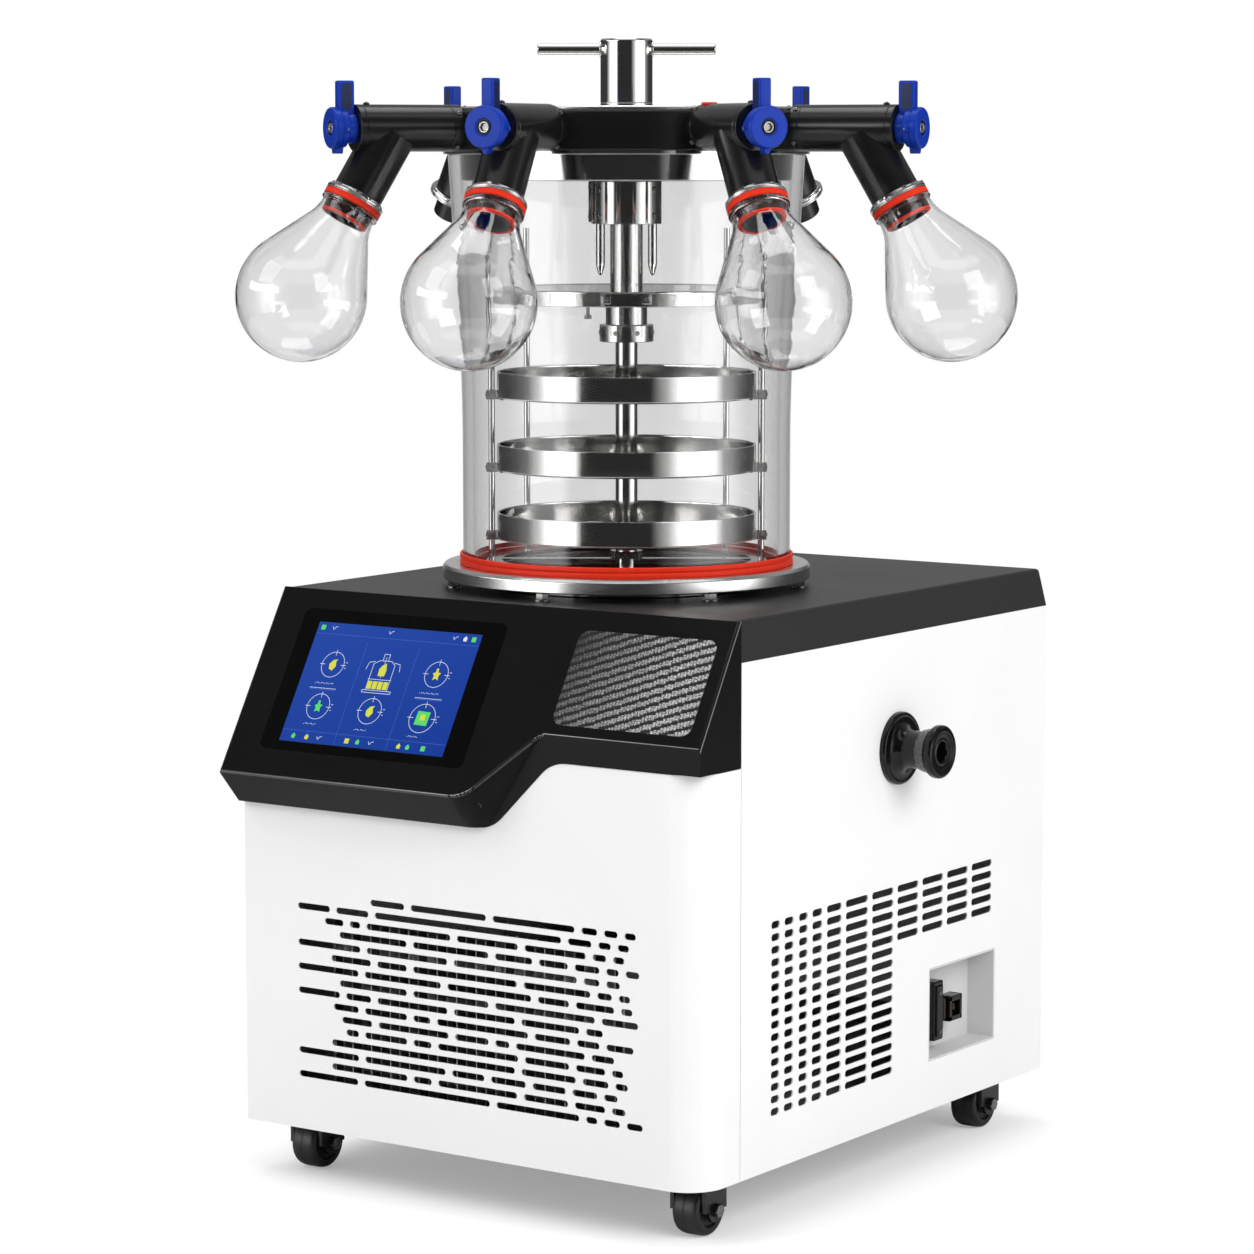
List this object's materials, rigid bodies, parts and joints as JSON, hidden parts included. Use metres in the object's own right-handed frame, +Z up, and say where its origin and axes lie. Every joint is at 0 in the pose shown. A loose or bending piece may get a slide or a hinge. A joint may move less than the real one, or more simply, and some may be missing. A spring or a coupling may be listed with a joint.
{
  "type": "freeze dryer",
  "caption": "Laboratory freeze dryer: cabinet on casters with touch screen, clear drying chamber with trays and a press, and a manifold of valved flask ports.",
  "frame": {"origin": "on the floor under the middle of the cabinet", "axes": "+Z up, +X to the right along the cabinet front, -Y out of the front"},
  "size_m": [0.5439, 0.6019, 0.8712],
  "materials": {
    "white_panel": "satin white powder coat",
    "steel_frame": "grey primer",
    "black_cover": "satin black",
    "screen_glass": "glossy",
    "twill_insert": "woven silver-black look",
    "black_hard": "glossy black",
    "stainless": "polished and brushed stainless steel",
    "red_silicone": "orange-red silicone",
    "clear_acrylic": "clear",
    "clear_glass": "clear borosilicate",
    "blue_lever": "royal blue",
    "foam": "closed-cell foam",
    "compressor_black": "black enamel",
    "aluminium_fins": "bare",
    "motor_grey": "grey",
    "fan_black": "matt",
    "circuit": "green laminate",
    "caster_fork": "black",
    "caster_tyre": "black"
  },
  "bodies": {
    "cabinet": {"base_flange": "stainless", "base_gasket": "red_silicone", "base_pan": "steel_frame", "cabinet_frame": "steel_frame", "caster_plates": "stainless", "chamber_cylinder": "clear_acrylic", "chamber_head": "stainless", "cold_trap": "stainless", "compressor": "compressor_black", "condenser": "aluminium_fins", "console_bezel": "black_cover", "control_board": "circuit", "evaporator_coil": "stainless", "fan_motor": "motor_grey", "flange_screws": "stainless", "flask_1": "clear_glass", "flask_2": "clear_glass", "flask_3": "clear_glass", "flask_4": "clear_glass", "flask_seals": "red_silicone", "front_panel": "white_panel", "left_panel": "white_panel", "lid_plate": "stainless", "manifold_ring": "black_cover", "neck_rings": "stainless", "port_arms": "black_cover", "power_inlet": "black_hard", "power_recess": "white_panel", "press_hub": "stainless", "rear_panel": "white_panel", "right_panel": "white_panel", "top_cover": "black_cover", "touch_screen": "screen_glass", "trap_insulation": "foam", "tray_1": "stainless", "tray_2": "stainless", "tray_3": "stainless", "tray_rack": "stainless", "trim_insert": "twill_insert", "vacuum_port": "black_hard"},
    "press_handle_body": {"press_handle": "stainless", "handle_bar": "stainless", "lead_screw": "stainless"},
    "press_plate_body": {"press_plate": "stainless", "press_spindle": "stainless"},
    "fan_rotor": {"condenser_fan": "fan_black"},
    "valve_1": {"valve_lever_1": "blue_lever"},
    "valve_2": {"valve_lever_2": "blue_lever"},
    "valve_3": {"valve_lever_3": "blue_lever"},
    "valve_4": {"valve_lever_4": "blue_lever"},
    "valve_5": {"valve_lever_5": "blue_lever"},
    "valve_6": {"valve_lever_6": "blue_lever"},
    "fork_front_left": {"caster_fork_front_left": "caster_fork"},
    "wheel_front_left": {"caster_wheel_front_left": "caster_tyre"},
    "fork_front_right": {"caster_fork_front_right": "caster_fork"},
    "wheel_front_right": {"caster_wheel_front_right": "caster_tyre"},
    "fork_rear_left": {"caster_fork_rear_left": "caster_fork"},
    "wheel_rear_left": {"caster_wheel_rear_left": "caster_tyre"},
    "fork_rear_right": {"caster_fork_rear_right": "caster_fork"},
    "wheel_rear_right": {"caster_wheel_rear_right": "caster_tyre"}
  },
  "joints": [
    {"name": "handle_turn", "type": "hinge", "parent": "cabinet", "child": "press_handle_body", "pos_m": [0, -0.04, 0.871], "axis": [0, 0, 1], "range_deg": [0, 4320]},
    {"name": "press_travel", "type": "slide", "parent": "cabinet", "child": "press_plate_body", "axis": [0, 0, -1], "range_m": [0, 0.036]},
    {"name": "fan_spin", "type": "hinge", "parent": "cabinet", "child": "fan_rotor", "pos_m": [0, -0.197, 0.15], "axis": [0, 1, 0], "continuous": true},
    {"name": "valve_turn_1", "type": "hinge", "parent": "cabinet", "child": "valve_1", "pos_m": [-0.12279, -0.24037, 0.803], "axis": [-0.5225, -0.8526, 0], "range_deg": [-90, 90]},
    {"name": "valve_turn_2", "type": "hinge", "parent": "cabinet", "child": "valve_2", "pos_m": [0.03879, -0.27178, 0.803], "axis": [0.165, -0.9863, 0], "range_deg": [-90, 90]},
    {"name": "valve_turn_3", "type": "hinge", "parent": "cabinet", "child": "valve_3", "pos_m": [0.20248, -0.15927, 0.803], "axis": [0.8616, -0.5075, 0], "range_deg": [-90, 90]},
    {"name": "valve_turn_4", "type": "hinge", "parent": "cabinet", "child": "valve_4", "pos_m": [0.23106, 0.00282, 0.803], "axis": [0.9833, 0.1822, 0], "range_deg": [-90, 90]},
    {"name": "valve_turn_5", "type": "hinge", "parent": "cabinet", "child": "valve_5", "pos_m": [0.01435, 0.19456, 0.803], "axis": [0.061, 0.9981, 0], "range_deg": [-90, 90]},
    {"name": "valve_turn_6", "type": "hinge", "parent": "cabinet", "child": "valve_6", "pos_m": [-0.22412, 0.03067, 0.803], "axis": [-0.9537, 0.3007, 0], "range_deg": [-90, 90]},
    {"name": "swivel_front_left", "type": "hinge", "parent": "cabinet", "child": "fork_front_left", "pos_m": [-0.178, -0.197, 0.05], "axis": [0, 0, 1], "continuous": true},
    {"name": "roll_front_left", "type": "hinge", "parent": "fork_front_left", "child": "wheel_front_left", "pos_m": [-0.178, -0.206, 0.02], "axis": [1, 0, 0], "continuous": true},
    {"name": "swivel_front_right", "type": "hinge", "parent": "cabinet", "child": "fork_front_right", "pos_m": [0.178, -0.197, 0.05], "axis": [0, 0, 1], "continuous": true},
    {"name": "roll_front_right", "type": "hinge", "parent": "fork_front_right", "child": "wheel_front_right", "pos_m": [0.178, -0.206, 0.02], "axis": [1, 0, 0], "continuous": true},
    {"name": "swivel_rear_left", "type": "hinge", "parent": "cabinet", "child": "fork_rear_left", "pos_m": [-0.178, 0.189, 0.05], "axis": [0, 0, 1], "continuous": true},
    {"name": "roll_rear_left", "type": "hinge", "parent": "fork_rear_left", "child": "wheel_rear_left", "pos_m": [-0.178, 0.198, 0.02], "axis": [1, 0, 0], "continuous": true},
    {"name": "swivel_rear_right", "type": "hinge", "parent": "cabinet", "child": "fork_rear_right", "pos_m": [0.178, 0.189, 0.05], "axis": [0, 0, 1], "continuous": true},
    {"name": "roll_rear_right", "type": "hinge", "parent": "fork_rear_right", "child": "wheel_rear_right", "pos_m": [0.178, 0.198, 0.02], "axis": [1, 0, 0], "continuous": true}
  ],
  "couplings": [
    {"joint": "press_travel", "follows": "handle_turn", "m_per_rad": 0.00047746}
  ]
}
